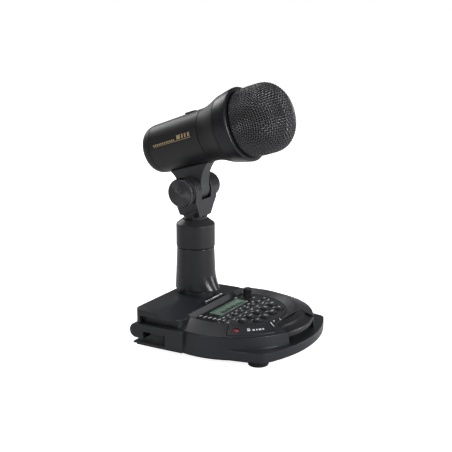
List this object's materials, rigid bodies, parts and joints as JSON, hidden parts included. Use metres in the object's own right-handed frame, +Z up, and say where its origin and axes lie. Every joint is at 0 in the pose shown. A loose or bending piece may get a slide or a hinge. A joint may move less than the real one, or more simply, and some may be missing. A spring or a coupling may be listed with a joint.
{
  "type": "desktop microphone",
  "caption": "Desk microphone for a radio station: tilting, swivelling head on a column over a round control base with a display, keys, knob, lock key and transmit bar.",
  "frame": {"origin": "middle of the footprint, on the surface it stands on", "axes": "+Z up, -Y to the front where the user sits, +X to the user's right"},
  "size_m": [0.16, 0.187, 0.2614],
  "materials": {
    "housing": "fine textured, satin",
    "panel": "smooth, polished",
    "keycap": "satin",
    "trim": "satin",
    "rubber": "moulded",
    "bottom_plate": "powder coated",
    "ballast": "as cast",
    "casting": "die cast, painted satin",
    "bracket": "painted satin, a lighter grey",
    "turned": "turned face, dark anodised",
    "steel": "plain",
    "barrel": "painted satin",
    "mesh": "woven wire, painted",
    "foam": "open-cell foam",
    "circuit": "solder mask",
    "lens": "clear",
    "liquid_crystal": "flat",
    "red_lens": "clear red"
  },
  "bodies": {
    "base": {"lower_case": "housing", "top_cover": "housing", "bottom_plate": "bottom_plate", "foot_front_left": "rubber", "foot_front_right": "rubber", "foot_rear_left": "rubber", "foot_rear_right": "rubber", "ballast_weight": "ballast", "control_panel": "panel", "display_window": "lens", "display_module": "liquid_crystal", "control_board": "circuit", "encoder_body": "trim", "badge_plate": "trim", "transmit_bar_pin": "steel", "transmit_switch": "trim", "radio_socket_left": "trim", "radio_socket_right": "trim", "phones_socket": "trim", "power_socket": "trim", "column_plinth": "housing", "column": "casting"},
    "collar": {"lock_collar": "casting"},
    "yoke": {"yoke": "casting", "clamp_cap": "casting"},
    "clamp": {"clamp_knob": "turned", "clamp_washer": "steel", "clamp_bolt": "steel"},
    "microphone": {"microphone_bracket": "bracket", "barrel": "barrel", "tail_cap": "barrel", "head_cone": "barrel", "head_band": "barrel", "grille": "mesh", "windscreen": "foam", "capsule_holder": "trim", "dynamic_capsule": "steel", "condenser_capsule": "steel", "microphone_board": "circuit"},
    "transmit_bar": {"transmit_bar": "trim"},
    "lock": {"lock_key": "housing", "lock_lens": "red_lens"},
    "tuning_knob": {"encoder_knob": "trim"},
    "small_key_1": {"small_key_1": "keycap"},
    "small_key_2": {"small_key_2": "keycap"},
    "small_key_3": {"small_key_3": "keycap"},
    "small_key_4": {"small_key_4": "keycap"},
    "small_key_5": {"small_key_5": "keycap"},
    "small_key_6": {"small_key_6": "keycap"},
    "small_key_7": {"small_key_7": "keycap"},
    "small_key_8": {"small_key_8": "keycap"},
    "round_key_1": {"round_key_1": "keycap"},
    "round_key_2": {"round_key_2": "keycap"},
    "round_key_3": {"round_key_3": "keycap"},
    "round_key_4": {"round_key_4": "keycap"},
    "round_key_5": {"round_key_5": "keycap"},
    "round_key_6": {"round_key_6": "keycap"},
    "round_key_7": {"round_key_7": "keycap"},
    "round_key_8": {"round_key_8": "keycap"},
    "round_key_9": {"round_key_9": "keycap"}
  },
  "joints": [
    {"name": "collar_turn", "type": "hinge", "parent": "base", "child": "collar", "pos_m": [0, 0.03837, 0.105], "axis": [0, 0, 1], "range_deg": [0, 120]},
    {"name": "stand_swivel", "type": "hinge", "parent": "base", "child": "yoke", "pos_m": [0, 0.03837, 0.12], "axis": [0, 0, 1], "range_deg": [-165, 165]},
    {"name": "head_tilt", "type": "hinge", "parent": "yoke", "child": "microphone", "pos_m": [0, 0.03837, 0.1506], "axis": [1, 0, 0], "range_deg": [-40, 35]},
    {"name": "clamp_turn", "type": "hinge", "parent": "yoke", "child": "clamp", "pos_m": [0, 0.03837, 0.1506], "axis": [1, 0, 0], "range_deg": [0, 360]},
    {"name": "transmit_press", "type": "hinge", "parent": "base", "child": "transmit_bar", "pos_m": [0, -0.07263, 0.0298], "axis": [1, 0, 0], "range_deg": [0, 7], "stiffness_Nm_per_rad": 0.32, "springref_deg": -5.73},
    {"name": "lock_press", "type": "slide", "parent": "base", "child": "lock", "axis": [0, 0, -1], "range_m": [0, 0.0012], "stiffness_N_per_m": 1500, "springref_m": -0.0005},
    {"name": "tuning_turn", "type": "hinge", "parent": "base", "child": "tuning_knob", "pos_m": [0.0412, 0.00057, 0.035], "axis": [0, 0, 1], "continuous": true},
    {"name": "small_key_1_press", "type": "slide", "parent": "base", "child": "small_key_1", "axis": [0, 0, -1], "range_m": [0, 0.0008], "stiffness_N_per_m": 1500, "springref_m": -0.0005},
    {"name": "small_key_2_press", "type": "slide", "parent": "base", "child": "small_key_2", "axis": [0, 0, -1], "range_m": [0, 0.0008], "stiffness_N_per_m": 1500, "springref_m": -0.0005},
    {"name": "small_key_3_press", "type": "slide", "parent": "base", "child": "small_key_3", "axis": [0, 0, -1], "range_m": [0, 0.0008], "stiffness_N_per_m": 1500, "springref_m": -0.0005},
    {"name": "small_key_4_press", "type": "slide", "parent": "base", "child": "small_key_4", "axis": [0, 0, -1], "range_m": [0, 0.0008], "stiffness_N_per_m": 1500, "springref_m": -0.0005},
    {"name": "small_key_5_press", "type": "slide", "parent": "base", "child": "small_key_5", "axis": [0, 0, -1], "range_m": [0, 0.0008], "stiffness_N_per_m": 1500, "springref_m": -0.0005},
    {"name": "small_key_6_press", "type": "slide", "parent": "base", "child": "small_key_6", "axis": [0, 0, -1], "range_m": [0, 0.0008], "stiffness_N_per_m": 1500, "springref_m": -0.0005},
    {"name": "small_key_7_press", "type": "slide", "parent": "base", "child": "small_key_7", "axis": [0, 0, -1], "range_m": [0, 0.0008], "stiffness_N_per_m": 1500, "springref_m": -0.0005},
    {"name": "small_key_8_press", "type": "slide", "parent": "base", "child": "small_key_8", "axis": [0, 0, -1], "range_m": [0, 0.0008], "stiffness_N_per_m": 1500, "springref_m": -0.0005},
    {"name": "round_key_1_press", "type": "slide", "parent": "base", "child": "round_key_1", "axis": [0, 0, -1], "range_m": [0, 0.0008], "stiffness_N_per_m": 1500, "springref_m": -0.0005},
    {"name": "round_key_2_press", "type": "slide", "parent": "base", "child": "round_key_2", "axis": [0, 0, -1], "range_m": [0, 0.0008], "stiffness_N_per_m": 1500, "springref_m": -0.0005},
    {"name": "round_key_3_press", "type": "slide", "parent": "base", "child": "round_key_3", "axis": [0, 0, -1], "range_m": [0, 0.0008], "stiffness_N_per_m": 1500, "springref_m": -0.0005},
    {"name": "round_key_4_press", "type": "slide", "parent": "base", "child": "round_key_4", "axis": [0, 0, -1], "range_m": [0, 0.0008], "stiffness_N_per_m": 1500, "springref_m": -0.0005},
    {"name": "round_key_5_press", "type": "slide", "parent": "base", "child": "round_key_5", "axis": [0, 0, -1], "range_m": [0, 0.0008], "stiffness_N_per_m": 1500, "springref_m": -0.0005},
    {"name": "round_key_6_press", "type": "slide", "parent": "base", "child": "round_key_6", "axis": [0, 0, -1], "range_m": [0, 0.0008], "stiffness_N_per_m": 1500, "springref_m": -0.0005},
    {"name": "round_key_7_press", "type": "slide", "parent": "base", "child": "round_key_7", "axis": [0, 0, -1], "range_m": [0, 0.0008], "stiffness_N_per_m": 1500, "springref_m": -0.0005},
    {"name": "round_key_8_press", "type": "slide", "parent": "base", "child": "round_key_8", "axis": [0, 0, -1], "range_m": [0, 0.0008], "stiffness_N_per_m": 1500, "springref_m": -0.0005},
    {"name": "round_key_9_press", "type": "slide", "parent": "base", "child": "round_key_9", "axis": [0, 0, -1], "range_m": [0, 0.0008], "stiffness_N_per_m": 1500, "springref_m": -0.0005}
  ]
}
